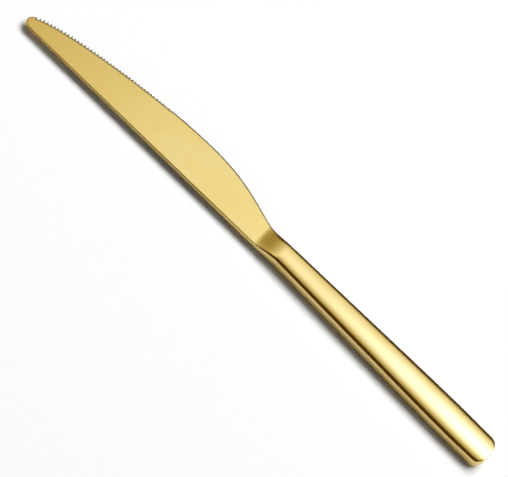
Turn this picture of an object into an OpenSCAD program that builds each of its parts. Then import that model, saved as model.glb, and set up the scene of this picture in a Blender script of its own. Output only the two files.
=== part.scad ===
// Table knife with a hollow welded handle, lying on its side with the upper flank up.
// X runs from the tip to the butt, Y towards the cutting edge and Z up.

/* [Blade] */
// Length of the blade, from its tip to the foot of the bolster
blade_len = 116.7; // [95:0.1:140]
// Width of the blade at its widest place, above the line of the spine
blade_w = 18; // [15:0.1:22]
// Distance from the tip to the widest place
belly_at = 80; // [65:0.5:90]
// Width of the blade at its heel, where the bolster begins
heel_w = 10.3; // [9:0.1:12]
// Height by which the spine rises towards the tip
spine_lift = 0.6; // [0:0.1:1.5]
// Radius of the rounded tip
tip_r = 2.6; // [1.5:0.1:3.5]
// Thickness of the spine at the bolster
spine_t = 2.3; // [1.6:0.1:3]
// Thickness of the blade at its tip
tip_t = 1.1; // [0.8:0.05:1.6]
// Thickness of the cutting edge at the widest place
edge_t = 0.4; // [0.2:0.05:0.8]

/* [Teeth] */
// Distance from one tooth to the next
tooth_pitch = 1.41; // [1.1:0.01:2.5]
// Width of each tooth at its top
tooth_top = 0.2; // [0.1:0.05:0.5]
// Depth of the gullets near the tip
gullet_front = 1.1; // [0.5:0.05:1.4]
// Depth of the gullets at the rear of the toothed edge
gullet_rear = 0.4; // [0.2:0.05:0.8]
// Distance from the tip to the first gullet
teeth_from = 3.5; // [2.5:0.1:8]
// Length of the toothed stretch of the edge
teeth_len = 55; // [30:0.5:70]

/* [Bolster] */
// Length of the bolster, from the blade to the handle
bolster_len = 9.8; // [8:0.1:14]
// Length of the ramp that rises from the flank to the crown of the bolster
ramp_len = 7.6; // [5:0.1:8]
// Width of the neck, where the bolster meets the handle
neck_w = 9.1; // [8:0.1:11]
// Distance by which the neck is set in from the line of the spine
neck_set = 0.3; // [0:0.1:1]

/* [Handle] */
// Length of the handle behind the bolster
handle_len = 104.6; // [95:0.1:125]
// Thickness of the handle, from crown to crown
handle_t = 6.6; // [5.8:0.1:9]
// Width of the handle at its widest place
handle_w = 13; // [11:0.1:16]
// Distance from the bolster to the widest place of the handle
widest_at = 85; // [75:0.5:92]
// Width of the handle at its end, before its corners are rounded
butt_w = 12.6; // [10.5:0.1:15]
// Length over which the end is rounded
butt_round = 4.5; // [3:0.1:6.5]
// Distance by which the centre line drops towards the spine side
handle_drop = 1.65; // [0:0.05:3]
// Radius of the crowned faces of the handle
crown_r = 27; // [20:0.5:60]
// Radius of the rounded arrises of the handle
arris_r = 1.1; // [0.8:0.05:1.4]

/* [Shells and welds] */
// Thickness of the pressed sheet of the shells
wall = 0.8; // [0.5:0.05:1]
// Width of the weld that joins the two shells
seam_w = 0.6; // [0.3:0.05:1]
// Width of the weld that joins the shells to the bolster
neck_weld_w = 0.6; // [0.3:0.05:1.2]

/* [Tang and filling] */
// Length of the spigot that fits inside the mouth of the shells
spigot_len = 4; // [2.5:0.1:8]
// Length of the tang behind the spigot
tang_len = 42; // [25:0.5:70]
// Width of the tang at its root
tang_w = 4.6; // [3:0.1:5.5]
// Thickness of the tang
tang_t = 2.2; // [1.5:0.1:3]
// Clearance of the spigot in the shells
spigot_gap = 0.1; // [0.05:0.01:0.2]
// Clearance round the tang in the filling
tang_gap = 0.15; // [0.05:0.01:0.3]
// Clearance that the filling leaves to the shells as it sets
fill_gap = 0.1; // [0.05:0.01:0.2]

/* [Hidden] */

// Overrun of the cuts
over = 1;
// Metal left on the forged flanks for grinding, and the radius of the forged edges
grind = 0.05;
forged_r = 0.15;
// Height by which the cutter of the teeth clears the tops between its gullets
lift = 0.3;

// Steps along the curves: the tip, the edge in front of and behind the widest place, the bolster,
// the handle and its rounded end, and the corners, crown and gullets across them
tip_steps = 5;
front_steps = 14;
rear_steps = 8;
bolster_steps = 8;
handle_steps = 12;
butt_steps = 7;
corner_steps = 3;
crown_steps = 6;
gullet_steps = 6;

// Turn at which the edge leaves the round of the tip, and the turn of the first step on it
tip_turn = 140;
tip_first_turn = 8;
// Shares that draw the curve of the edge: towards the tip, the widest place and the heel
tip_shares = [0.03, 0.59];
belly_front_share = 0.65;
belly_rear_share = 0.52;
heel_shares = [0.74, 0.34];
neck_shares = [0.3, 0.4];
// Share of the ramp that rises as a plain arc, so that its foot shows as a crisp line
crisp_share = 0.35;
// Fullness of the handle's sides and the power by which they level out
swell_share = 1.08;
level_power = 8;
// Squareness of the rounded end and the share of it that is left flat
butt_power = 2.9;
butt_flat_share = 0.004;
// Power that squares the gullets, and the share of its width that the tang keeps at its end
gullet_power = 0.7;
tang_end_share = 0.6;

gold = "#e6cb84";
polished_gold = "#f3dc96";
weld_gold = "#dcc078";
cement = "#b9b4a8";

neck_x = blade_len + bolster_len;
total_len = neck_x + handle_len;
mouth_x = neck_x + neck_weld_w;
fill_x = neck_x + spigot_len;
neck_y = neck_set + neck_w / 2;

// Curves

function curve_at(a, b, c, d, t) =
    pow(1 - t, 3) * a + 3 * pow(1 - t, 2) * t * b + 3 * (1 - t) * t * t * c + pow(t, 3) * d;
function curve(a, b, c, d, steps) = [for (i = [1:steps]) curve_at(a, b, c, d, i / steps)];
function mix(a, b, share) = a + (b - a) * share;
function smooth(share) = share * share * (3 - 2 * share);
function backwards(list) = [for (i = [len(list) - 1:-1:0]) list[i]];

// Outline of the blade and bolster, as two lines from the tip to the neck

tip_centre = [tip_r, spine_lift + tip_r];
function tip_point(turn) = tip_centre + tip_r * [cos(turn), sin(turn)];
function tip_arc(to) =
    concat([[0, tip_point(mix(180, to, tip_first_turn / abs(to - 180)))[1]]],
        [for (i = [1:tip_steps]) tip_point(mix(180, to, i / tip_steps))]);

belly = [belly_at, blade_w];
heel = [blade_len, heel_w];
neck_edge = [neck_x, neck_set + neck_w];
neck_spine = [neck_x, neck_set];
heel_pull = [mix(belly_at, blade_len, heel_shares[0]), mix(heel_w, blade_w, heel_shares[1])];
neck_pull = heel + neck_shares[0] * bolster_len / (blade_len - heel_pull[0]) * (heel - heel_pull);

edge_line = concat(
    tip_arc(tip_turn),
    curve(tip_point(tip_turn), [tip_shares[0] * blade_len, tip_shares[1] * blade_w],
        [belly_front_share * belly_at, blade_w], belly, front_steps),
    curve(belly, [mix(belly_at, blade_len, belly_rear_share), blade_w], heel_pull, heel, rear_steps),
    curve(heel, neck_pull, neck_edge - [neck_shares[1] * bolster_len, 0], neck_edge, bolster_steps));
spine_line = concat(
    tip_arc(270),
    curve([blade_len, 0], [blade_len + neck_shares[0] * bolster_len, 0],
        neck_spine - [neck_shares[1] * bolster_len, 0], neck_spine, bolster_steps));
function edge_y(x) = lookup(x, edge_line);
function spine_y(x) = lookup(x, spine_line);

// Ground flank: a plane through the spine at the heel, the tip and the edge at the widest place

flank_heel = [blade_len, 0, spine_t / 2];
flank_tip = [0, tip_centre[1], tip_t / 2];
flank_belly = [belly_at, blade_w, edge_t / 2];
flank_normal = cross(flank_heel - flank_tip, flank_belly - flank_tip);
function flank_z(x, y) =
    flank_heel[2] - (flank_normal[0] * (x - flank_heel[0]) + flank_normal[1] * y) / flank_normal[2];

// Outline of the handle: its centre line, its half width and its half thickness, each inset by a wall

function centre_y(x) = neck_y - handle_drop * (x - neck_x) / handle_len;
function swell(share) = swell_share * share - (swell_share - 1) * pow(share, level_power);
function side_w(x) =
    x < neck_x + widest_at
        ? mix(neck_w, handle_w, swell((x - neck_x) / widest_at))
        : mix(handle_w, butt_w, pow((x - neck_x - widest_at) / (handle_len - widest_at), 2));
function end_share(gap) =
    gap >= butt_round ? 1
        : pow(1 - pow(1 - max(gap / butt_round, butt_flat_share), butt_power), 1 / butt_power);
function end_drop(gap) =
    gap >= arris_r ? 0
        : arris_r - sqrt(pow(arris_r, 2) - pow(arris_r - max(gap, butt_flat_share * butt_round), 2));
function half_w(x, inset) = (side_w(x) / 2 - inset) * end_share(total_len - inset - x);
function half_t(x, inset) = handle_t / 2 - inset - end_drop(total_len - inset - x);

// Upper half of a section: a rounded corner, the crown and the other corner, as [y, z] about its centre

function section(side, top, corner, crown) =
    let (turn = asin((side - corner) / (crown - corner)),
        corner_z = top - crown + (crown - corner) * cos(turn),
        round = [for (i = [0:corner_steps]) let (a = (90 - turn) * i / corner_steps)
            [side - corner + corner * cos(a), corner_z + corner * sin(a)]],
        arch = [for (i = [1:crown_steps - 1]) let (a = turn * (1 - 2 * i / crown_steps))
            [crown * sin(a), top - crown + crown * cos(a)]])
    concat(round, arch, [for (p = backwards(round)) [-p[0], p[1]]]);
function whole(half) = concat(half, [for (p = backwards(half)) [p[0], -p[1]]]);

function handle_half(x, inset) =
    let (side = half_w(x, inset),
        corner = min(max(arris_r - inset, arris_r / 4), side / 2))
    section(side, half_t(x, inset), corner, crown_r - inset);
function handle_ring(x, inset) = [for (p = whole(handle_half(x, inset))) [x, centre_y(x) + p[0], p[1]]];
function handle_places(from, inset) =
    let (end = total_len - inset)
    concat([for (i = [0:handle_steps]) mix(from, end - butt_round, i / handle_steps)],
        [for (i = [1:butt_steps]) end - butt_round * (1 - sin(90 * i / butt_steps))]);

// Upper half of a shell's wall, open to the seam, from its outer skin back along its inner one

function seam_half(x, inset) =
    let (half = handle_half(x, inset), side = half[0][0])
    [for (p = concat([[side, seam_w / 2]], half, [[-side, seam_w / 2]])) [x, centre_y(x) + p[0], p[1]]];

// Rings of points are joined into a closed skin, in triangles

function skin(rings, size) = [
    for (i = [0:rings - 2], j = [0:size - 1])
        let (a = i * size + j, b = i * size + (j + 1) % size)
        each [[a, a + size, b + size], [a, b + size, b]]];
function counted(from, to) = [for (i = [from:to]) i];

module loft(rings) {
    size = len(rings[0]);
    last = (len(rings) - 1) * size;
    polyhedron(
        points = [for (ring = rings) each ring],
        faces = concat(skin(len(rings), size),
            [counted(0, size - 1), backwards(counted(last, last + size - 1))]));
}

// Blade, bolster, spigot and tang, forged in one piece

function ramp(x) =
    let (share = min(max((x - blade_len) / ramp_len, 0), 1))
    mix(smooth(share), sin(90 * share), crisp_share);
function forged_ring(x) =
    let (rise = ramp(x),
        middle = (edge_y(x) + spine_y(x)) / 2,
        half = section((edge_y(x) - spine_y(x)) / 2, handle_t / 2,
            mix(forged_r, arris_r, rise), crown_r / max(rise, grind)))
    [for (p = whole(half))
        let (y = middle + p[0])
        [x, y, p[1] * mix((flank_z(x, y) + grind) / (handle_t / 2), 1, rise)]];

module forging() {
    places = concat([for (p = edge_line) if (p[0] < neck_x) p[0]]);
    loft(concat(
        [for (x = places) forged_ring(x)],
        [handle_ring(neck_x, 0)],
        [for (x = [neck_x, fill_x]) handle_ring_at(x, neck_x, wall + spigot_gap)]));
}

// A ring drawn at one place with the section that the handle has at another
function handle_ring_at(x, like, inset) = [for (p = handle_ring(like, inset)) [x, p[1], p[2]]];

module flank_cutter() {
    intersection() {
        translate(flank_tip)
            rotate(a = acos(flank_normal[2] / norm(flank_normal)), v = cross([0, 0, 1], flank_normal))
                translate([-total_len / 2, -total_len / 2, 0])
                    cube([total_len, total_len, handle_t]);
        translate([-over, -over, 0])
            cube([blade_len + over, blade_w + 2 * over, handle_t]);
    }
}

gullets = floor(teeth_len / tooth_pitch);
gullet_w = tooth_pitch - tooth_top;
function edge_normal(x) =
    let (step = [tooth_top, edge_y(x + tooth_top) - edge_y(x)])
    [-step[1], step[0]] / norm(step);
function edge_point(x, height) = [x, edge_y(x)] + height * edge_normal(x);
function gullet(i) =
    let (from = teeth_from + i * tooth_pitch,
        depth = mix(gullet_front, gullet_rear, i / gullets))
    [for (j = [0:gullet_steps])
        let (share = j / gullet_steps)
        edge_point(from + share * gullet_w,
            j == 0 || j == gullet_steps ? lift : -depth * pow(sin(180 * share), gullet_power))];

module tooth_cutter() {
    last_x = teeth_from + gullets * tooth_pitch;
    translate([0, 0, -handle_t / 2])
        linear_extrude(handle_t)
            polygon(concat([for (i = [0:gullets - 1]) each gullet(i)],
                [[last_x, blade_w + over], [teeth_from, blade_w + over]]));
}

module tang_bar(gap) {
    middle = centre_y(fill_x + tang_len / 2);
    root = tang_w / 2 + gap;
    end = tang_w / 2 * tang_end_share + gap;
    end_x = fill_x + tang_len + gap;
    translate([0, 0, -tang_t / 2 - gap])
        linear_extrude(tang_t + 2 * gap)
            polygon([[fill_x - over, middle - root], [end_x, middle - end],
                [end_x, middle + end], [fill_x - over, middle + root]]);
}

module blade() {
    color(gold) {
        difference() {
            union() {
                forging();
                tang_bar(0);
            }
            flank_cutter();
            mirror([0, 0, 1]) flank_cutter();
            tooth_cutter();
        }
    }
}

// Weld that runs round the knife between the bolster and the shells

module bolster_weld() {
    size = len(handle_ring(neck_x, 0));
    rings = [for (x = [neck_x, mouth_x], inset = [0, wall]) handle_ring(x, inset)];
    frame = [rings[0], rings[2], rings[3], rings[1], rings[0]];
    color(weld_gold)
        polyhedron(
            points = [for (i = [0:3]) each frame[i]],
            faces = [for (f = skin(5, size)) [for (p = f) p % (4 * size)]]);
}

// Pressed half shell of the handle, closed at the butt and open at the mouth

module half_shell() {
    outer = [for (x = handle_places(mouth_x, 0)) seam_half(x, 0)];
    inner = [for (x = handle_places(mouth_x, wall)) seam_half(x, wall)];
    count = len(outer);
    side = len(outer[0]);
    size = 2 * side;
    last = (count - 1) * size;
    polyhedron(
        points = [for (i = [0:count - 1]) each concat(outer[i], backwards(inner[i]))],
        faces = concat(skin(count, size),
            [for (j = [0:side - 2]) [j, j + 1, size - 2 - j, size - 1 - j]],
            [backwards(counted(last, last + side - 1)),
                backwards(counted(last + side, last + size - 1)),
                [last + size - 1, last + side, last + side - 1, last]]));
}

module handle_shell_upper() {
    color(polished_gold) half_shell();
}

module handle_shell_lower() {
    color(polished_gold) mirror([0, 0, 1]) half_shell();
}

// Weld that runs along both sides and round the butt between the two shells

function side_line(inset) =
    let (places = handle_places(mouth_x, inset))
    concat([for (x = places) [x, centre_y(x) + half_w(x, inset)]],
        [for (x = backwards(places)) [x, centre_y(x) - half_w(x, inset)]]);

module seam_weld() {
    color(weld_gold)
        translate([0, 0, -seam_w / 2])
            linear_extrude(seam_w)
                polygon(concat(side_line(0), backwards(side_line(wall))));
}

// Filling that sets round the tang and gives the handle its weight

module handle_filling() {
    inset = wall + fill_gap;
    color(cement)
        difference() {
            loft([for (x = handle_places(fill_x, inset)) handle_ring(x, inset)]);
            tang_bar(tang_gap);
        }
}

// The origin lies under the middle of the whole knife, on the surface that the handle rests on

handle_sides = [for (p = side_line(0)) p[1]];
module placed() {
    translate([-total_len / 2, -(blade_w + min(handle_sides)) / 2, handle_t / 2]) children();
}

placed() blade();
placed() bolster_weld();
placed() handle_shell_upper();
placed() handle_shell_lower();
placed() seam_weld();
placed() handle_filling();
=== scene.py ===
# A gold-coated table knife with a welded hollow handle, lying on a white table in soft studio light.
import math

import bpy
from mathutils import Matrix, Quaternion, Vector
from mathutils.geometry import interpolate_bezier


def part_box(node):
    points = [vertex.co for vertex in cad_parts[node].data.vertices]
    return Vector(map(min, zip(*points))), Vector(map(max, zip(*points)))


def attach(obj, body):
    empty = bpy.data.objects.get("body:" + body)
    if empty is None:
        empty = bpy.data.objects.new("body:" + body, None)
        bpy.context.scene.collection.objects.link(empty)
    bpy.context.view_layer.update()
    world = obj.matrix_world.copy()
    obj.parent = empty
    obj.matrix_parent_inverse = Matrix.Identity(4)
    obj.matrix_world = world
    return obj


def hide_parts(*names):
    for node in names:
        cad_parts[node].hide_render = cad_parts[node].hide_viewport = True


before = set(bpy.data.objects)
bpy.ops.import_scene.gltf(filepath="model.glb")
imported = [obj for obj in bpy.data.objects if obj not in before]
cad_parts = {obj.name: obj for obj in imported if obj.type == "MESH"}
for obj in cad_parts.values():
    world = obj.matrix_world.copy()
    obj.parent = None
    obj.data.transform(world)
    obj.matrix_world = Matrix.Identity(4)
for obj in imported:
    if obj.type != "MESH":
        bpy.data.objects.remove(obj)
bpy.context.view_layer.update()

MM = 0.001
BODY = "root"

# Blade: x runs from the tip and y from the line of the spine, as in the drawing of the part
BLADE_LEN = 0.1167
BLADE_W = 0.018
BELLY_AT = 0.080
HEEL_W = 0.0103
SPINE_LIFT = 0.0006
TIP_R = 0.0026
SPINE_T = 0.0023
TIP_T = 0.0011
EDGE_T = 0.0004
TIP_TURN = math.radians(140)
TIP_SHARES = (0.03, 0.59)
BELLY_FRONT_SHARE = 0.65
BELLY_REAR_SHARE = 0.52
HEEL_SHARES = (0.74, 0.34)

# The edge is rolled over along a narrow strip, and the arrises of the spine are broken
ROLL_R = 0.00128
ROLL_END = math.radians(30.6)
ROLL_FROM = 0.0045
SPINE_R = 0.00028
TIP_ARRIS_R = 0.00048
LEAN_LEN = 10 * TIP_R

# Teeth
TOOTH_PITCH = 0.00141
TOOTH_TOP = 0.00027
GULLET_FRONT = 0.0011
GULLET_REAR = 0.00033
TEETH_FROM = 0.00195
TEETH_LEN = 0.0594
GULLET_SIDES = 24

# Bolster and handle
BOLSTER_LEN = 0.0098
RAMP_START = 0.0006
RAMP_LEN = 0.0099
NECK_W = 0.0091
NECK_SET = 0.0003
NECK_SHARES = (0.3, 0.4)
FOOT_POWER = 0.78
FOOT_STEP = 0.0005
HANDLE_LEN = 0.1046
HANDLE_T = 0.0066
HANDLE_W = 0.013
WIDEST_AT = 0.085
BUTT_W = 0.0126
BUTT_ROUND = 0.0045
BUTT_POWER = 2.9
HANDLE_DROP = 0.00165
CROWN_R = 0.027
ARRIS_R = 0.00095
SWELL_SHARE = 1.08
LEVEL_POWER = 8

# Walls, welds, spigot and tang
WALL = 0.0008
SEAM_W = 0.0006
NECK_WELD_W = 0.0006
SPIGOT_LEN = 0.004
SPIGOT_GAP = 0.0001
SPIGOT_ARRIS_R = ARRIS_R / 4
TANG_LEN = 0.042
TANG_W = 0.0046
TANG_T = 0.0022
TANG_END_SHARE = 0.6
TANG_ARRIS_R = 0.0001
TANG_CROWN_R = 1

# Steps along and across the drawn sections
CURVE_STEPS = 64
CORNER_STEPS = 7
CROWN_STEPS = 16
TIP_STATIONS = 12
BLADE_STATIONS = 48
BLADE_STATION_POWER = 1.3
RAMP_STATIONS = 20
HANDLE_STATIONS = 38
BUTT_STATIONS = 30
BUTT_FINE_STEPS = 2000

# Shares of the flank's width at which points are drawn, with one close to each of its rounded sides
FLANK_SHARES = [0, 0.02, *(i / (CROWN_STEPS - 2) for i in range(1, CROWN_STEPS - 2)), 0.98, 1]

RAMP_X = BLADE_LEN - RAMP_START
NECK_X = BLADE_LEN + BOLSTER_LEN
TOTAL_LEN = NECK_X + HANDLE_LEN
MOUTH_X = NECK_X + NECK_WELD_W
SPIGOT_END_X = NECK_X + SPIGOT_LEN
TANG_END_X = SPIGOT_END_X + TANG_LEN
NECK_Y = NECK_SET + NECK_W / 2

ALONG = Vector((1, 0, 0))
SIDEWAYS = Vector((0, 1, 0))

# Lengths that count as nothing when points are compared or merged, and the least turn of a corner
HAIR = 0.000001
CLOSE = 0.00001
LEAST_TURN = 1e-6
SMOOTH_TO = math.radians(32)

# Place of the first section, as good as at the tip, and half width of the last one at the butt
FIRST_X = HAIR / 100
LAST_HALF_W = HAIR / 10

blade_low, blade_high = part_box("blade")
ORIGIN = Vector((blade_low.x, blade_high.y - BLADE_W, HANDLE_T / 2))


def mix(a, b, share):
    return a + (b - a) * share


def smooth(share):
    return share * share * (3 - 2 * share)


# Outlines of the blade, the bolster and the handle


def curve(a, b, c, d):
    """Points along a cubic curve, from a to d."""
    return interpolate_bezier(*(Vector((*p, 0)) for p in (a, b, c, d)), CURVE_STEPS + 1)


def height_at(line, x):
    """Height and slope of a line of points at x."""
    for before, after in zip(line, line[1:]):
        if x <= after.x:
            break
    slope = (after.y - before.y) / (after.x - before.x)
    return before.y + slope * (x - before.x), slope


TIP_CENTRE = Vector((TIP_R, SPINE_LIFT + TIP_R))
TIP_LEAVES = TIP_CENTRE + TIP_R * Vector((math.cos(TIP_TURN), math.sin(TIP_TURN)))
TIP_PULL = (TIP_SHARES[0] * BLADE_LEN, TIP_SHARES[1] * BLADE_W)
BELLY = (BELLY_AT, BLADE_W)
BELLY_FRONT_PULL = (BELLY_FRONT_SHARE * BELLY_AT, BLADE_W)
BELLY_REAR_PULL = (mix(BELLY_AT, BLADE_LEN, BELLY_REAR_SHARE), BLADE_W)
HEEL = (BLADE_LEN, HEEL_W)
HEEL_PULL = (mix(BELLY_AT, BLADE_LEN, HEEL_SHARES[0]), mix(HEEL_W, BLADE_W, HEEL_SHARES[1]))
HEEL_GROWTH = NECK_SHARES[0] * BOLSTER_LEN / (BLADE_LEN - HEEL_PULL[0])
HEEL_ON = (
    HEEL[0] + HEEL_GROWTH * (HEEL[0] - HEEL_PULL[0]),
    HEEL[1] + HEEL_GROWTH * (HEEL[1] - HEEL_PULL[1]),
)
NECK_PULL_X = NECK_X - NECK_SHARES[1] * BOLSTER_LEN
NECK_EDGE = (NECK_X, NECK_SET + NECK_W)
NECK_SPINE = (NECK_X, NECK_SET)

EDGE_LINE = (
    curve(TIP_LEAVES, TIP_PULL, BELLY_FRONT_PULL, BELLY)
    + curve(BELLY, BELLY_REAR_PULL, HEEL_PULL, HEEL)[1:]
    + curve(HEEL, HEEL_ON, (NECK_PULL_X, NECK_EDGE[1]), NECK_EDGE)[1:]
)
BOLSTER_SPINE_LINE = curve(
    (BLADE_LEN, 0),
    (BLADE_LEN + NECK_SHARES[0] * BOLSTER_LEN, 0),
    (NECK_PULL_X, NECK_SET),
    NECK_SPINE,
)


def outward(slope, side):
    """Unit normal of an outline that climbs by slope, on the side of +y or -y."""
    return Vector((-slope * side, side, 0)).normalized()


def tip_point(x, side):
    """Point on the round of the tip, and the way out of it."""
    reach = Vector((x - TIP_R, side * math.sqrt(TIP_R**2 - (TIP_R - x) ** 2), 0))
    return Vector((x, TIP_CENTRE.y + reach.y, 0)), reach.normalized()


def edge_point(x):
    """Point on the line of the edge, and the way out of it."""
    if x < TIP_LEAVES.x:
        return tip_point(x, 1)
    y, slope = height_at(EDGE_LINE, x)
    return Vector((x, y, 0)), outward(slope, 1)


def spine_point(x):
    """Point on the line of the spine, and the way out of it."""
    if x < TIP_R:
        return tip_point(x, -1)
    if x < BLADE_LEN:
        slope = -SPINE_LIFT / (BLADE_LEN - TIP_R)
        return Vector((x, SPINE_LIFT + slope * (x - TIP_R), 0)), outward(slope, -1)
    y, slope = height_at(BOLSTER_SPINE_LINE, x)
    return Vector((x, y, 0)), outward(slope, -1)


# Ground flank: a plane through the spine at the heel, the tip and the edge at the widest place
FLANK_HEEL = Vector((BLADE_LEN, 0, SPINE_T / 2))
FLANK_TIP = Vector((0, TIP_CENTRE.y, TIP_T / 2))
FLANK_BELLY = Vector((BELLY_AT, BLADE_W, EDGE_T / 2))
FLANK_UP = (FLANK_HEEL - FLANK_TIP).cross(FLANK_BELLY - FLANK_TIP).normalized()


def flank_z(x, y):
    return FLANK_HEEL.z - (FLANK_UP.x * (x - FLANK_HEEL.x) + FLANK_UP.y * y) / FLANK_UP.z


def centre_y(x):
    return NECK_Y - HANDLE_DROP * (x - NECK_X) / HANDLE_LEN


def side_w(x):
    """Width of the handle before its end is rounded."""
    if x < NECK_X + WIDEST_AT:
        share = (x - NECK_X) / WIDEST_AT
        return mix(NECK_W, HANDLE_W, SWELL_SHARE * share - (SWELL_SHARE - 1) * share**LEVEL_POWER)
    return mix(HANDLE_W, BUTT_W, ((x - NECK_X - WIDEST_AT) / (HANDLE_LEN - WIDEST_AT)) ** 2)


def crown_r(x):
    """The faces of the handle are crowned more tightly where it is narrow."""
    return CROWN_R * side_w(min(x, TOTAL_LEN - BUTT_ROUND)) / HANDLE_W


def fine_butt_line():
    """Half of the rounded end, as points from its side to its middle."""
    line = []
    for i in range(BUTT_FINE_STEPS + 1):
        turn = math.pi / 2 * (1 - i / BUTT_FINE_STEPS)
        gap = BUTT_ROUND * (1 - math.cos(turn) ** (2 / BUTT_POWER))
        x = TOTAL_LEN - gap
        line.append(Vector((x, side_w(x) / 2 * math.sin(turn) ** (2 / BUTT_POWER), 0)))
    return line


def butt_line():
    """Evenly spaced points of the rounded end, and the way out of each."""
    fine = fine_butt_line()
    lengths = [0]
    for before, after in zip(fine, fine[1:]):
        lengths.append(lengths[-1] + (after - before).length)
    line, i = [], 0
    for step in range(1, BUTT_STATIONS + 1):
        while lengths[i] < lengths[-1] * step / BUTT_STATIONS - HAIR:
            i += 1
        around = fine[min(i + 1, BUTT_FINE_STEPS)] - fine[i - 1]
        line.append((fine[i], Vector((-around.y, around.x, 0)).normalized()))
    return line


# Drawing of the sections: from a vertex, by extruding and spinning it


def begin_drawing(point):
    """A new section in edit mode, with one vertex to draw from."""
    bpy.ops.object.select_all(action="DESELECT")
    bpy.ops.mesh.primitive_plane_add(size=MM, location=(0, 0, 0))
    bpy.context.object.name = "section"
    bpy.ops.object.mode_set(mode="EDIT")
    bpy.ops.mesh.select_mode(type="VERT")
    bpy.ops.mesh.merge(type="CENTER")
    bpy.ops.transform.translate(value=point)


def draw_step(step):
    bpy.ops.mesh.extrude_region_move(TRANSFORM_OT_translate={"value": step})


def draw_through(points):
    """Draws on from the first of the points, where the last vertex is, through the others."""
    for before, after in zip(points, points[1:]):
        draw_step(after - before)


def draw_turn(steps, start, end, centre):
    """Turns the last vertex about the centre, from one direction to another."""
    turn = start.angle(end, 0)
    axis = start.cross(end)
    if turn < LEAST_TURN:
        turn, axis = LEAST_TURN, ALONG
    bpy.ops.mesh.spin(steps=steps, angle=-turn, center=centre, axis=axis.normalized())


def end_drawing():
    bpy.ops.object.mode_set(mode="OBJECT")
    return bpy.context.object


def squared(out, x):
    """The sections turn square to the blade behind the tip, so the way out leans less and less."""
    lean = max(0, 1 - x / LEAN_LEN)
    return Vector((out.x * lean, out.y, 0)).normalized()


def corner_on_flank(point, direction, radius):
    """Centre of a rounded corner that touches the flank and reaches out to the point."""
    centre = point - radius * Vector((direction.x, direction.y, 0))
    touch = centre + radius * FLANK_UP
    centre.z = flank_z(touch.x, touch.y) - radius * FLANK_UP.z
    return centre


def draw_blade_section(x):
    """Half of a section of the blade: edge, rolled strip, flat flank, arris and spine."""
    edge, edge_out = edge_point(x)
    spine, spine_out = spine_point(x)
    edge_out, spine_out = squared(edge_out, x), squared(spine_out, x)
    rolled = smooth(min(x / ROLL_FROM, 1))
    arris_r = mix(TIP_ARRIS_R, SPINE_R, rolled)
    edge_r = mix(arris_r, ROLL_R, rolled)
    roll_axis = FLANK_UP.cross(edge_out).normalized()
    roll_turn = mix(FLANK_UP.angle(edge_out), ROLL_END, rolled)
    edge_dir = Quaternion(roll_axis, roll_turn) @ FLANK_UP
    edge_centre = corner_on_flank(edge, edge_dir, edge_r)
    spine_centre = corner_on_flank(spine, spine_out, arris_r)
    top = edge_centre + edge_r * edge_dir
    begin_drawing(Vector((top.x, top.y, 0)))
    draw_step((0, 0, top.z))
    draw_turn(CORNER_STEPS, edge_dir, FLANK_UP, edge_centre)
    start = edge_centre + edge_r * FLANK_UP
    reach = spine_centre + arris_r * FLANK_UP - start
    draw_through([start + reach * share for share in FLANK_SHARES])
    draw_turn(CORNER_STEPS, FLANK_UP, spine_out, spine_centre)
    draw_step((0, 0, -spine_centre.z))
    return end_drawing()


def tilted(turn):
    """Direction turned from straight up towards +y."""
    return Vector((0, math.sin(turn), math.cos(turn)))


def corner_in_crown(centre, crown, y, direction, radius):
    """Centre of a rounded corner that touches the crown from inside and reaches out to y."""
    inset = y - radius * direction.y
    up = math.sqrt((crown - radius) ** 2 - (inset - centre.y) ** 2)
    return Vector((centre.x, inset, centre.z + up))


def draw_bolster_section(x):
    """Half of a section of the ramp: the flank rises and rounds into the crown of the handle."""
    rise = smooth(min((x - RAMP_X) / RAMP_LEN, 1) ** FOOT_POWER)
    edge, spine = edge_point(x)[0], spine_point(x)[0]
    middle = (edge.y + spine.y) / 2
    crown = crown_r(NECK_X) / rise
    top = mix(flank_z(x, middle), HANDLE_T / 2, rise)
    tilt = math.atan((rise - 1) * FLANK_UP.y / FLANK_UP.z)
    centre = Vector((x, middle + crown * math.sin(tilt), top - crown * math.cos(tilt)))
    edge_r, spine_r = mix(ROLL_R, ARRIS_R, rise), mix(SPINE_R, ARRIS_R, rise)
    edge_dir = tilted(mix(ROLL_END, math.pi / 2, rise))
    spine_dir = tilted(-math.pi / 2)
    edge_centre = corner_in_crown(centre, crown, edge.y, edge_dir, edge_r)
    spine_centre = corner_in_crown(centre, crown, spine.y, spine_dir, spine_r)
    edge_up = (edge_centre - centre).normalized()
    spine_up = (spine_centre - centre).normalized()
    begin_drawing(edge)
    draw_step((0, 0, edge_centre.z + edge_r * edge_dir.z))
    draw_turn(CORNER_STEPS, edge_dir, edge_up, edge_centre)
    draw_turn(CROWN_STEPS, edge_up, spine_up, centre)
    draw_turn(CORNER_STEPS, spine_up, spine_dir, spine_centre)
    draw_step((0, 0, -spine_centre.z))
    return end_drawing()


def over_crown(centre, crown, start, hub_x, end):
    """Points over the crown from one arris to the other, by way of a place on its ridge."""
    ridge = Vector((hub_x, centre.y, 0))
    half = CROWN_STEPS // 2
    points = [start.lerp(ridge, i / half) for i in range(half)]
    points += [ridge.lerp(end, i / half) for i in range(half + 1)]
    for point in points:
        point.z = centre.z + math.sqrt(crown**2 - (point.y - centre.y) ** 2)
    return points


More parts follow.
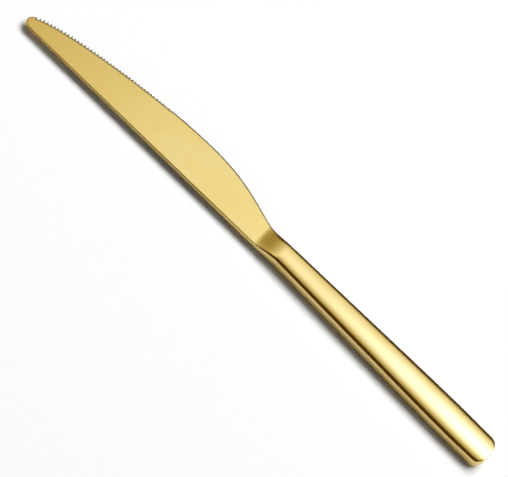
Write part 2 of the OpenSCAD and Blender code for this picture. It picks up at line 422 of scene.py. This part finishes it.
def draw_crowned_section(
    x, half, out, crown, corner, half_t=HANDLE_T / 2, base=0, like=None, hub_x=None
):
    """Half of a section of the handle: side, rounded arris, crown, arris and side."""
    middle = centre_y(like or x)
    inset = half - corner * out.y
    reach = crown - corner
    up = math.sqrt(reach**2 - inset**2)
    centre = Vector((x - corner * out.x, middle, half_t - crown))
    edge_up = Vector((0, inset, up)) / reach
    spine_up = Vector((0, -inset, up)) / reach
    edge_centre = centre + reach * edge_up
    begin_drawing(Vector((x, middle + half, base)))
    draw_step((0, 0, edge_centre.z - base))
    draw_turn(CORNER_STEPS, out, edge_up, edge_centre)
    if hub_x is None:
        draw_turn(CROWN_STEPS, edge_up, spine_up, centre)
    else:
        start, end = centre + crown * edge_up, centre + crown * spine_up
        draw_through(over_crown(centre, crown, start, hub_x, end))
    draw_turn(CORNER_STEPS, spine_up, Vector((out.x, -out.y, 0)), centre + reach * spine_up)
    draw_step((0, 0, base - edge_centre.z))
    return end_drawing()


# Work on whole pieces


def select_only(*pieces):
    """Selects these pieces alone, the last of them as the active one."""
    bpy.ops.object.select_all(action="DESELECT")
    for piece in pieces:
        piece.select_set(True)
    bpy.context.view_layer.objects.active = pieces[-1]


def copy_of(piece, name):
    """A copy of a piece with a mesh of its own."""
    copy = piece.copy()
    copy.data = piece.data.copy()
    copy.name = name
    bpy.context.collection.objects.link(copy)
    return copy


def bridge_sections(name, sections):
    """Joins the sections one after another, each bridged to the one before it."""
    piece = sections[0]
    piece.name = name
    count = len(piece.data.vertices)
    for section in sections[1:]:
        before = len(piece.data.vertices)
        select_only(section, piece)
        bpy.ops.object.join()
        for i, vertex in enumerate(piece.data.vertices):
            vertex.select = i >= before - count
        for part in (piece.data.edges, piece.data.polygons):
            for item in part:
                item.select = all(v >= before - count for v in item.vertices)
        bpy.ops.object.mode_set(mode="EDIT")
        bpy.ops.mesh.bridge_edge_loops()
        bpy.ops.object.mode_set(mode="OBJECT")
    return piece


def tidy_mesh(piece):
    """Merges doubles and turns the faces outwards."""
    select_only(piece)
    bpy.ops.object.mode_set(mode="EDIT")
    bpy.ops.mesh.select_all(action="SELECT")
    bpy.ops.mesh.remove_doubles(threshold=CLOSE)
    bpy.ops.mesh.normals_make_consistent(inside=False)
    bpy.ops.object.mode_set(mode="OBJECT")


def apply_modifier(piece, kind, **settings):
    """Adds a modifier, sets it and applies it."""
    bpy.context.view_layer.objects.active = piece
    modifier = piece.modifiers.new(kind.lower(), kind)
    for key, value in settings.items():
        setattr(modifier, key, value)
    bpy.ops.object.modifier_apply(modifier=modifier.name)


def mirror_down(piece):
    """Completes a half with its mirrored lower half."""
    apply_modifier(piece, "MIRROR", use_axis=(False, False, True), merge_threshold=CLOSE)
    tidy_mesh(piece)


def turn_over(piece):
    """Mirrors a piece to the lower side of the knife."""
    select_only(piece)
    bpy.ops.object.mode_set(mode="EDIT")
    bpy.ops.mesh.select_all(action="SELECT")
    bpy.ops.transform.resize(value=(1, 1, -1), center_override=(0, 0, 0))
    bpy.ops.object.mode_set(mode="OBJECT")
    tidy_mesh(piece)


def thicken(piece):
    """Gives a skin its wall, inwards."""
    apply_modifier(piece, "SOLIDIFY", thickness=WALL, offset=-1, use_quality_normals=True)


def close_holes(piece):
    bpy.context.view_layer.objects.active = piece
    bpy.ops.object.mode_set(mode="EDIT")
    bpy.ops.mesh.select_mode(type="VERT")
    bpy.ops.mesh.select_all(action="DESELECT")
    bpy.ops.mesh.select_non_manifold()
    bpy.ops.mesh.edge_face_add()
    bpy.ops.object.mode_set(mode="OBJECT")


def finish_piece(piece, node, material):
    """Moves the piece to its place in the frame, smooths it and gives it its material."""
    select_only(piece)
    piece.location = ORIGIN
    bpy.ops.object.transform_apply(location=True, rotation=True, scale=True)
    bpy.ops.object.shade_smooth_by_angle(angle=SMOOTH_TO)
    piece.data.materials.clear()
    piece.data.materials.append(material)
    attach(piece, BODY)
    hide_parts(node)


# The pieces of the knife


def make_tooth_cutter():
    """One round-bottomed grinding wheel mark for each gullet, set square to the edge."""
    cutters = []
    count = int(TEETH_LEN / TOOTH_PITCH)
    gullet_w = TOOTH_PITCH - TOOTH_TOP
    bpy.ops.object.select_all(action="DESELECT")
    bpy.ops.mesh.primitive_cylinder_add(
        vertices=GULLET_SIDES, radius=1, depth=1, end_fill_type="NGON"
    )
    first = bpy.context.object
    for i in range(count):
        point, out = edge_point(TEETH_FROM + i * TOOTH_PITCH + gullet_w / 2)
        cutter = copy_of(first, "gullet_cut")
        cutter.location = point
        cutter.rotation_euler.z = math.atan2(-out.x, out.y)
        depth = mix(GULLET_FRONT, GULLET_REAR, i / count)
        cutter.scale = (gullet_w / 2 / out.y, depth, HANDLE_T)
        cutters.append(cutter)
    bpy.data.objects.remove(first)
    select_only(*reversed(cutters))
    bpy.ops.object.join()
    bpy.ops.object.transform_apply(location=True, rotation=True, scale=True)
    return bpy.context.object


def blade_stations():
    """Places of the sections from the tip, where they lie close together, to the foot of the ramp."""
    turns = [math.pi / 2 * i / TIP_STATIONS for i in range(TIP_STATIONS + 1)]
    tip = [TIP_R * (1 - math.cos(turn)) for turn in turns]
    tip[0] = FIRST_X
    shares = [(i / BLADE_STATIONS) ** BLADE_STATION_POWER for i in range(1, BLADE_STATIONS)]
    return tip + [mix(TIP_R, RAMP_X, share) for share in shares] + [RAMP_X - FOOT_STEP, RAMP_X]


def spigot_sections():
    """The step down into the mouth of the shells, as high and wide as they leave room for."""
    fit = WALL + SPIGOT_GAP
    half, crown, half_t = NECK_W / 2 - fit, crown_r(NECK_X) - fit, HANDLE_T / 2 - fit
    return [
        draw_crowned_section(x, half, SIDEWAYS, crown, SPIGOT_ARRIS_R, half_t, like=NECK_X)
        for x in (NECK_X, SPIGOT_END_X)
    ]


def tang_sections():
    """The tang narrows towards its end."""
    middle = SPIGOT_END_X + TANG_LEN / 2
    half, crown, corner, half_t = TANG_W / 2, TANG_CROWN_R, TANG_ARRIS_R, TANG_T / 2
    return [
        draw_crowned_section(x, half * share, SIDEWAYS, crown, corner, half_t, like=middle)
        for x, share in ((SPIGOT_END_X, 1), (TANG_END_X, TANG_END_SHARE))
    ]


def make_blade():
    """Blade, bolster, spigot and tang, forged in one piece."""
    ramp = [RAMP_X + RAMP_LEN * i / RAMP_STATIONS for i in range(1, RAMP_STATIONS + 1)]
    sections = [draw_blade_section(x) for x in blade_stations()]
    sections += [draw_bolster_section(x) for x in [*ramp, NECK_X]]
    sections += spigot_sections() + tang_sections()
    blade = bridge_sections("blade_forging", sections)
    tidy_mesh(blade)
    mirror_down(blade)
    close_holes(blade)
    tidy_mesh(blade)
    cutter = make_tooth_cutter()
    apply_modifier(blade, "BOOLEAN", operation="DIFFERENCE", object=cutter, solver="MANIFOLD")
    bpy.data.objects.remove(cutter)
    return blade


def handle_stations():
    """Places, half widths and outward directions of the handle's sections."""
    last = TOTAL_LEN - BUTT_ROUND
    places = [mix(MOUTH_X, last, i / HANDLE_STATIONS) for i in range(HANDLE_STATIONS + 1)]
    stations = [(x, side_w(x) / 2, SIDEWAYS, None) for x in places]
    for point, out in butt_line():
        stations.append((point.x, max(point.y, LAST_HALF_W), out, last))
    return stations


def make_half_shell():
    """Outer skin of the upper pressed half shell."""
    sections = [
        draw_crowned_section(x, half, out, crown_r(x), ARRIS_R, base=SEAM_W / 2, hub_x=hub_x)
        for x, half, out, hub_x in handle_stations()
    ]
    shell = bridge_sections("half_shell_upper", sections)
    tidy_mesh(shell)
    return shell


def rim_edges(shell):
    """Edges of the shell's skin that lie on the seam."""
    points = shell.data.vertices
    return [
        edge for edge in shell.data.edges
        if all(abs(points[v].co.z - SEAM_W / 2) < CLOSE for v in edge.vertices)
    ]


def make_seam_weld(shell):
    """Strip of weld that fills the seam between the shells, ground flush with them."""
    seam = copy_of(shell, "seam_weld_bead")
    select_only(seam)
    bpy.ops.object.mode_set(mode="EDIT")
    bpy.ops.mesh.select_mode(type="EDGE")
    bpy.ops.mesh.select_all(action="DESELECT")
    bpy.ops.object.mode_set(mode="OBJECT")
    for edge in rim_edges(seam):
        edge.select = True
    bpy.ops.object.mode_set(mode="EDIT")
    draw_step((0, 0, -SEAM_W))
    bpy.ops.mesh.select_mode(type="FACE")
    bpy.ops.mesh.select_all(action="DESELECT")
    bpy.ops.object.mode_set(mode="OBJECT")
    for face in seam.data.polygons:
        face.select = face.center.z > SEAM_W / 2 + HAIR
    bpy.ops.object.mode_set(mode="EDIT")
    bpy.ops.mesh.delete(type="FACE")
    bpy.ops.object.mode_set(mode="OBJECT")
    tidy_mesh(seam)
    return seam


def make_bolster_weld():
    """Ring of weld between the bolster and the mouth of the shells."""
    sections = [
        draw_crowned_section(x, side_w(x) / 2, SIDEWAYS, crown_r(x), ARRIS_R)
        for x in (NECK_X, MOUTH_X)
    ]
    ring = bridge_sections("bolster_weld_ring", sections)
    mirror_down(ring)
    return ring


# Finishes: colours
PALE_GOLD = (0.93, 0.745, 0.33, 1)
DEEP_GOLD = (0.90, 0.69, 0.27, 1)
SATIN_PALE = (0.955, 0.76, 0.275, 1)
SATIN_DEEP = (0.92, 0.70, 0.225, 1)
# painted shade: a darker satin gold that the blade turns to towards its tip
SATIN_TIP_SHADE = (0.80, 0.56, 0.15, 1)
# painted shade: dark gold for the thin dark line along the edge and round the tip, standing in for
# the dark surroundings the rolled edge mirrors
EDGE_SHADE_GOLD = (0.38, 0.29, 0.11, 1)
CEMENT_DEEP = (0.42, 0.39, 0.33, 1)
CEMENT_PALE = (0.58, 0.55, 0.48, 1)
TABLE_DEEP = (0.86, 0.86, 0.86, 1)
TABLE_PALE = (0.88, 0.88, 0.88, 1)
CARD_GREY = (0.69, 0.66, 0.57, 1)
CARD_BLACK = (0.07, 0.06, 0.04, 1)

# Finishes: how often a pattern repeats in a metre along, across and up, its detail and, where it
# isn't the usual one, its roughness
SATIN_CLOUDS = ((60, 90, 90), 3)
GRIND_LINES = ((40, 9000, 9000), 2)
GRIND_GRAINS = ((4000, 4000, 4000), 1)
POLISH_CLOUDS = ((45, 120, 120), 3)
POLISH_HAZE = ((900, 2600, 2600), 3)
WELD_CLOUDS = ((500, 500, 500), 3)
WELD_RIPPLES = ((2500, 2500, 2500), 2)
CEMENT_CLOUDS = ((300, 300, 300), 4)
CEMENT_PORES = ((3000, 3000, 3000), 4, 0.7)
TABLE_GRAIN = ((200, 200, 200), 3)

# Finishes: how strongly a fine pattern counts beside the clouds, or in the height of the bumps
LINES_IN_ROUGHNESS = 0.5
LINES_IN_HEIGHT = 0.8
GRAINS_IN_HEIGHT = 0.2
PORES_IN_COLOUR = 0.5

# Finishes: the part of a pattern's values over which its colours or its roughness change
CLOUD_SPAN = (0.35, 0.65)
FINE_SPAN = (0.3, 0.7)
SUM_SPAN = (0.5, 1.0)

# Finishes: roughness, from the smoothest places to the roughest, and height of the bumps
SATIN_ROUGH = (0.27, 0.33)
BRIGHT_ROUGH = 0.125
EDGE_ROUGH = 0.42
POLISH_ROUGH = (0.10, 0.15)
WELD_ROUGH = (0.11, 0.17)
CEMENT_ROUGH = (0.8, 0.95)
TABLE_ROUGH = (0.85, 0.95)
GRIND_BUMP = 0.0000012
POLISH_BUMP = 0.0000006
WELD_BUMP = 0.0000008
PORE_BUMP = 0.00005

# Finishes: the strip along the edge that gets painted shade and a rougher finish, and where the satin
# gets painted shade towards the tip and turns polished
STRIP_W = 0.0006
STRIP_SOFT = 0.0001
STRIP_POINTS = 28
STRIP_POINT_POWER = 1.6
TIP_SHADE_STRIP = (ORIGIN.x + 0.0003, ORIGIN.x + 0.0007, 1, 0)
FIRST_GULLET = (ORIGIN.x + TEETH_FROM, ORIGIN.x + TEETH_FROM + 0.0003, 0, 1)
TOOTHED_SHARE = (TEETH_FROM + TEETH_LEN) / BLADE_LEN
GULLET_DEPTHS = (0, TOOTHED_SHARE, GULLET_FRONT, GULLET_REAR)
LAST_GULLET = (TOOTHED_SHARE - 0.004, TOOTHED_SHARE, 1, 0)
PAINTED_SHADE_TO_TIP = (ORIGIN.x, ORIGIN.x + 0.065, 1, 0)
POLISH_BEGINS = (ORIGIN.x + BLADE_LEN - 0.0006, ORIGIN.x + BLADE_LEN + 0.0008, 0, 1)


class Value:
    """A number that changes over a surface, with Python's arithmetic."""

    def __init__(self, finish, socket):
        self.finish = finish
        self.socket = socket

    def _with(self, operation, first, second):
        return self.finish.node("ShaderNodeMath", {"operation": operation}, {0: first, 1: second})

    def __add__(self, other):
        return self._with("ADD", self, other)

    def __sub__(self, other):
        return self._with("SUBTRACT", self, other)

    def __rsub__(self, other):
        return self._with("SUBTRACT", other, self)

    def __mul__(self, other):
        return self._with("MULTIPLY", self, other)

    def __pow__(self, power):
        return self._with("POWER", self, power)

    __radd__ = __add__
    __rmul__ = __mul__


class Finish:
    """A node tree that is written as expressions."""

    def __init__(self, tree):
        self.tree = tree
        tree.nodes.clear()

    def node(self, kind, settings=None, inputs=None, output=0):
        """Adds a node with its settings first, and returns one of its outputs."""
        node = self.tree.nodes.new(kind)
        for key, value in (settings or {}).items():
            setattr(node, key, value)
        for key, value in (inputs or {}).items():
            if isinstance(value, Value):
                self.tree.links.new(value.socket, node.inputs[key])
            else:
                node.inputs[key].default_value = value
        return Value(self, node.outputs[output]) if node.outputs else node

    def axis(self, letter, place="Object"):
        """Place along one axis of the piece, or heading along one axis of the room."""
        place = self.node("ShaderNodeTexCoord", output=place)
        return self.node("ShaderNodeSeparateXYZ", {}, {0: place}, output=letter)

    def noise(self, repeats, detail, roughness=0.5):
        """A cloudy pattern that repeats so often in a metre along, across and up."""
        place = self.node("ShaderNodeTexCoord", output="Object")
        place = self.node("ShaderNodeMapping", {}, {"Vector": place, "Scale": repeats})
        inputs = {"Vector": place, "Scale": 1.0, "Detail": detail, "Roughness": roughness}
        return self.node("ShaderNodeTexNoise", {}, inputs)

    def range(self, value, low, high, to_low, to_high, soft=False):
        """Level that runs from to_low to to_high while the value runs from low to high."""
        return self.node(
            "ShaderNodeMapRange",
            {"interpolation_type": "SMOOTHSTEP" if soft else "LINEAR"},
            {"Value": value, "From Min": low, "From Max": high, "To Min": to_low, "To Max": to_high},
        )

    def mixed(self, share, first, second):
        """Colour between two colours; the Mix node's colour sockets are 6 and 7, and 2 comes out."""
        inputs = {"Factor": share, 6: first, 7: second}
        return self.node("ShaderNodeMix", {"data_type": "RGBA"}, inputs, output=2)

    def curve(self, value, points):
        """A line of straight pieces through the points."""
        node = self.tree.nodes.new("ShaderNodeFloatCurve")
        line = node.mapping.curves[0]
        line.points[0].location = points[0]
        line.points[1].location = points[-1]
        for x, y in points[1:-1]:
            line.points.new(x, y)
        for point in line.points:
            point.handle_type = "VECTOR"
        node.mapping.update()
        self.tree.links.new(value.socket, node.inputs["Value"])
        return Value(self, node.outputs[0])

    def bump(self, height, distance):
        inputs = {"Height": height, "Distance": distance, "Strength": 1.0}
        return self.node("ShaderNodeBump", {}, inputs)


def new_finish(name):
    material = bpy.data.materials.new(name)
    material.use_nodes = True
    return material, Finish(material.node_tree)


def close_finish(finish, inputs):
    shader = finish.node("ShaderNodeBsdfPrincipled", {}, inputs)
    finish.node("ShaderNodeOutputMaterial", {}, {"Surface": shader})


def shaded_rough_edge_strip(finish, along, across):
    """Share of the strip along the edge that gets painted shade, a dark line, and a rougher finish:
    under the teeth, behind them and round the tip.
    """
    points = []
    for i in range(STRIP_POINTS + 1):
        x = BLADE_LEN * (i / STRIP_POINTS) ** STRIP_POINT_POWER
        points.append((x / BLADE_LEN, edge_point(max(x, HAIR))[0].y / BLADE_W))
    reach = finish.range(along, ORIGIN.x, ORIGIN.x + BLADE_LEN, 0, 1)
    inside = finish.curve(reach, points) * BLADE_W - (across - ORIGIN.y)
    depth = finish.range(reach, *GULLET_DEPTHS) * finish.range(reach, *LAST_GULLET)
    depth = depth * finish.range(along, *FIRST_GULLET)
    shaded_rough_strip = finish.range(inside - depth, STRIP_W - STRIP_SOFT, STRIP_W + STRIP_SOFT, 1, 0)
    tip = finish.range(along, *TIP_SHADE_STRIP)
    return finish.node("ShaderNodeMath", {"operation": "MAXIMUM"}, {0: shaded_rough_strip, 1: tip})


def satin_gold():
    """Satin ground flanks with fine lines along the blade, and a bolster as bright as the handle."""
    material, finish = new_finish("satin_gold_coating")
    cloud = finish.noise(*SATIN_CLOUDS)
    lines = finish.noise(*GRIND_LINES)
    grains = finish.noise(*GRIND_GRAINS)
    along, across = finish.axis("X"), finish.axis("Y")
    # painted shade: a dark line along the edge and round the tip, on a strip that is also rougher
    shaded_rough_strip = shaded_rough_edge_strip(finish, along, across)
    polish = finish.range(along, *POLISH_BEGINS, soft=True)
    clouded = finish.range(cloud, *CLOUD_SPAN, 0, 1)
    # painted shade: the satin darkens towards the tip
    tip_shade = finish.range(along, *PAINTED_SHADE_TO_TIP)
    satin = finish.mixed(tip_shade, finish.mixed(clouded, SATIN_DEEP, SATIN_PALE), SATIN_TIP_SHADE)
    bright = finish.mixed(clouded, DEEP_GOLD, PALE_GOLD)
    height = lines * LINES_IN_HEIGHT + grains * GRAINS_IN_HEIGHT
    ground = finish.range(cloud + lines * LINES_IN_ROUGHNESS, *SUM_SPAN, *SATIN_ROUGH)
    roughness = ground + (BRIGHT_ROUGH - ground) * polish
    close_finish(
        finish,
        {
            "Base Color": finish.mixed(shaded_rough_strip, finish.mixed(polish, satin, bright), EDGE_SHADE_GOLD),
            "Metallic": 1.0,
            "Roughness": roughness + (EDGE_ROUGH - roughness) * shaded_rough_strip,
            "Normal": finish.bump(height * (1 - polish), GRIND_BUMP),
        },
    )
    return material


def bright_gold(name, clouds, fine, rough, bump):
    """Gold coating on polished steel, clouded in colour, with a fine pattern in its polish."""
    material, finish = new_finish(name)
    clouded = finish.range(finish.noise(*clouds), *CLOUD_SPAN, 0, 1)
    pattern = finish.noise(*fine)
    close_finish(
        finish,
        {
            "Base Color": finish.mixed(clouded, DEEP_GOLD, PALE_GOLD),
            "Metallic": 1.0,
            "Roughness": finish.range(pattern, *FINE_SPAN, *rough),
            "Normal": finish.bump(pattern, bump),
        },
    )
    return material


def polished_gold():
    """Mirror-polished and coated handle, with the faint haze that polishing leaves."""
    name = "polished_gold_coating"
    return bright_gold(name, POLISH_CLOUDS, POLISH_HAZE, POLISH_ROUGH, POLISH_BUMP)


def weld_gold():
    """Weld metal that is ground flush and coated with the handle."""
    name = "ground_weld_gold"
    return bright_gold(name, WELD_CLOUDS, WELD_RIPPLES, WELD_ROUGH, WELD_BUMP)


def set_cement():
    """Matt set filling with fine pores."""
    material, finish = new_finish("set_filling")
    cloud = finish.noise(*CEMENT_CLOUDS)
    pores = finish.noise(*CEMENT_PORES)
    clouded = finish.range(cloud + pores * PORES_IN_COLOUR, *SUM_SPAN, 0, 1)
    close_finish(
        finish,
        {
            "Base Color": finish.mixed(clouded, CEMENT_DEEP, CEMENT_PALE),
            "Roughness": finish.range(pores, *FINE_SPAN, *CEMENT_ROUGH),
            "Normal": finish.bump(pores, PORE_BUMP),
        },
    )
    return material


def white_table():
    material, finish = new_finish("white_table_top")
    grain = finish.noise(*TABLE_GRAIN)
    close_finish(
        finish,
        {
            "Base Color": finish.mixed(grain, TABLE_DEEP, TABLE_PALE),
            "Roughness": finish.range(grain, 0, 1, *TABLE_ROUGH),
            "Specular IOR Level": 0.0,
        },
    )
    return material


# Table and card
TABLE_SIZE = 12
CARD_PLACE = (0.02, 0, 0.00005)
CARD_SCALE = (0.30, 0.2, 1)

# The card's black along both long sides of the knife. Each tuple holds where a change begins and
# ends, and its levels there. The first three set where the black begins, the others how it fades.
FAR_BLACK_FROM = (-0.015, 0.003, 0.010, 0.0035)
NEAR_BLACK_AT_HANDLE = (0, 0.10, 0, 0.0024)
NEAR_BLACK_AT_BLADE = (-0.025, 0, 0.0087, 0.0138)
FAR_BLACK = (0, 0.003, 0, 1)
NEAR_BLACK = (-0.0035, 0, 1, 0)
BLACK_ENDS = (0.106, 0.116, 1, 0)


def make_table():
    bpy.ops.object.select_all(action="DESELECT")
    bpy.ops.mesh.primitive_plane_add(size=TABLE_SIZE, location=(0, 0, 0))
    table = bpy.context.object
    table.name = "table_top"
    table.data.materials.append(white_table())


def card_paper():
    """Grey where the knife lies, and black along both its long sides."""
    material, finish = new_finish("card_paper")
    along, across = finish.axis("X"), finish.axis("Y")
    far = across - finish.range(along, *FAR_BLACK_FROM)
    near = across + finish.range(along, *NEAR_BLACK_AT_HANDLE)
    near = near + finish.range(along, *NEAR_BLACK_AT_BLADE)
    black = finish.range(far, *FAR_BLACK) + finish.range(near, *NEAR_BLACK)
    black = black * finish.range(along, *BLACK_ENDS)
    close_finish(
        finish,
        {
            "Base Color": finish.mixed(black, CARD_GREY, CARD_BLACK),
            "Roughness": 1.0,
            "Specular IOR Level": 0.0,
        },
    )
    return material


def make_card():
    """A card that only the polish of the knife shows, so that dark lines edge its sides."""
    bpy.ops.object.select_all(action="DESELECT")
    bpy.ops.mesh.primitive_plane_add(size=1, location=CARD_PLACE)
    card = bpy.context.object
    card.name = "reflection_card"
    card.scale = CARD_SCALE
    bpy.ops.object.transform_apply(location=True, rotation=True, scale=True)
    card.data.materials.append(card_paper())
    card.visible_camera = False
    card.visible_diffuse = False
    card.visible_shadow = False


# Camera
AIM = Vector((-0.00075, -0.00536, HANDLE_T / 2))
CAMERA_DISTANCE = 1.0
CAMERA_TILT = math.radians(30)
CAMERA_ROLL = math.radians(43.707)
CAMERA_CLIP = 0.01
VIEW_WIDTH = 0.1847
SENSOR = 36


def make_camera():
    """Camera above the spine's side of the knife, rolled so that the tip is at the upper left."""
    data = bpy.data.cameras.new("camera")
    camera = bpy.data.objects.new("camera", data)
    bpy.context.scene.collection.objects.link(camera)
    back = Vector((0, -math.sin(CAMERA_TILT), math.cos(CAMERA_TILT)))
    across = Vector((0, math.cos(CAMERA_TILT), math.sin(CAMERA_TILT)))
    right = math.cos(CAMERA_ROLL) * ALONG + math.sin(CAMERA_ROLL) * across
    up = -math.sin(CAMERA_ROLL) * ALONG + math.cos(CAMERA_ROLL) * across
    place = Matrix((right, up, back)).transposed().to_4x4()
    place.translation = AIM + CAMERA_DISTANCE * back
    camera.matrix_world = place
    data.sensor_width = SENSOR
    data.lens = SENSOR * CAMERA_DISTANCE / VIEW_WIDTH
    data.clip_start = CAMERA_CLIP
    bpy.context.scene.camera = camera


# Lamps for the table: name, place, size and power in watts
LAMPS = (
    ("table_softbox", (0.3, 0.95, 2.2), (2.0, 1.2), 75),
    ("room_light", (0, 0, 4), (8, 8), 33),
    ("blade_fill", (-0.45, -0.40, 0.22), (0.3, 0.2), 0.33),
)

# The room that the polish mirrors, by heading: x towards the butt, y beyond the edge and z up.
# Each tuple holds where a change begins and ends, and its levels there.
PANEL_NEAR_SIDE = (0.05, 0.40, 0, 1.08)
PANEL_WIDENS_AT_BLADE = (-0.14, 0.01, 0.2, 0)
PANEL_WIDENS_AT_BUTT = (0, 0.1, -0.005, 0.045)
PANEL_DIMS_BEYOND = (0.52, 0.76, 1, 0.76)
PANEL_DIMS_TO_TIP = (-0.60, 0.02, 0.27, 1.0)
PANEL_DIMS_AT_BLADE = (-0.12, 0.04, 0.84, 1.0)
PANEL_FAR_SIDE = (0.745, 0.785, 1, 0)
PANEL_DROPS_TO_TIP = (-0.6, -0.1, 0.12, 0)
CORE_NEAR_SIDE = (0.12, 0.45, 0, 1.25)
CORE_FAR_SIDE = (0.46, 0.76, 1, 0)
CORE_BEGINS = (0.035, 0.125, 0, 1)
TIP_CORNERS = (-0.75, -0.65, 1, 0)
BUTT_CORNERS = (0.6, 0.8, 0, 1)
CORNER_REAR = (-0.5, -0.3, 0.7, 0)
CORNER_BEYOND = (0.80, 0.88, 0, 0.5)
TIP_END = (-0.88, -0.72, 0.6, 0)
BUTT_END = (0.6, 0.85, 0, 0.6)
HORIZON = (0.03, 0.10, 0.2, 0)
DIM_REST = 0.03
RED_POWER = 0.8
BLUE_POWER = 1.7


def make_lamp(name, place, size, watts):
    """A soft lamp that shines on the table, and that the polish of the knife doesn't show."""
    data = bpy.data.lights.new(name, "AREA")
    data.shape = "RECTANGLE"
    data.size, data.size_y = size
    data.energy = watts
    lamp = bpy.data.objects.new(name, data)
    bpy.context.scene.collection.objects.link(lamp)
    lamp.location = place
    lamp.rotation_euler = (-lamp.location).to_track_quat("-Z", "Y").to_euler()
    lamp.visible_glossy = False
    lamp.visible_camera = False


def softbox_glow(room, along, across):
    """A long softbox beyond the knife, soft on its near side and sharp on its far one."""
    wider = room.range(along, *PANEL_WIDENS_AT_BLADE) + room.range(along, *PANEL_WIDENS_AT_BUTT)
    panel = room.range(across + wider, *PANEL_NEAR_SIDE, soft=True)
    panel = panel * room.range(across, *PANEL_DIMS_BEYOND)
    panel = panel * room.range(along, *PANEL_DIMS_TO_TIP, soft=True)
    panel = panel * room.range(along, *PANEL_DIMS_AT_BLADE)
    core = room.range(across, *CORE_NEAR_SIDE, soft=True)
    core = core * room.range(across, *CORE_FAR_SIDE, soft=True)
    core = core * room.range(along, *CORE_BEGINS, soft=True)
    drop = room.range(along, *PANEL_DROPS_TO_TIP)
    return (panel + core) * room.range(across + drop, *PANEL_FAR_SIDE, soft=True)


def room_glow(room, along, across, height):
    """A dim room, lighter at both ends, in its corners and along the horizon."""
    ends = room.range(along, *TIP_END, soft=True) + room.range(along, *BUTT_END, soft=True)
    corners = room.range(along, *TIP_CORNERS, soft=True)
    corners = corners + room.range(along, *BUTT_CORNERS, soft=True)
    rear = room.range(across, *CORNER_REAR, soft=True) * corners
    beyond = room.range(across, *CORNER_BEYOND, soft=True) * corners
    return rear + beyond + ends + room.range(height, *HORIZON, soft=True) + DIM_REST


def light_studio():
    """A warm room that only the polish of the knife shows, and lamps that only the table sees."""
    world = bpy.data.worlds.new("studio")
    bpy.context.scene.world = world
    world.use_nodes = True
    room = Finish(world.node_tree)
    along, across, height = (room.axis(letter, "Generated") for letter in "XYZ")
    glow = softbox_glow(room, along, across) + room_glow(room, along, across, height)
    channels = {"X": glow**RED_POWER, "Y": glow, "Z": glow**BLUE_POWER}
    tint = room.node("ShaderNodeCombineXYZ", {}, channels)
    light = room.node("ShaderNodeBackground", {}, {"Color": tint, "Strength": 1.0})
    room.node("ShaderNodeOutputWorld", {}, {"Surface": light})
    world.cycles_visibility.diffuse = False
    for lamp in LAMPS:
        make_lamp(*lamp)


def make_knife():
    polish, satin, weld = polished_gold(), satin_gold(), weld_gold()
    shell = make_half_shell()
    seam = make_seam_weld(shell)
    lower = copy_of(shell, "half_shell_lower")
    turn_over(lower)
    ring = make_bolster_weld()
    for piece in (shell, lower, seam, ring):
        thicken(piece)
    finish_piece(make_blade(), "blade", satin)
    finish_piece(shell, "handle_shell_upper", polish)
    finish_piece(lower, "handle_shell_lower", polish)
    finish_piece(seam, "seam_weld", weld)
    finish_piece(ring, "bolster_weld", weld)
    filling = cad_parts["handle_filling"]
    filling.data.materials.clear()
    filling.data.materials.append(set_cement())


make_knife()
make_table()
make_card()
make_camera()
light_studio()
bpy.context.scene.view_settings.view_transform = "Standard"
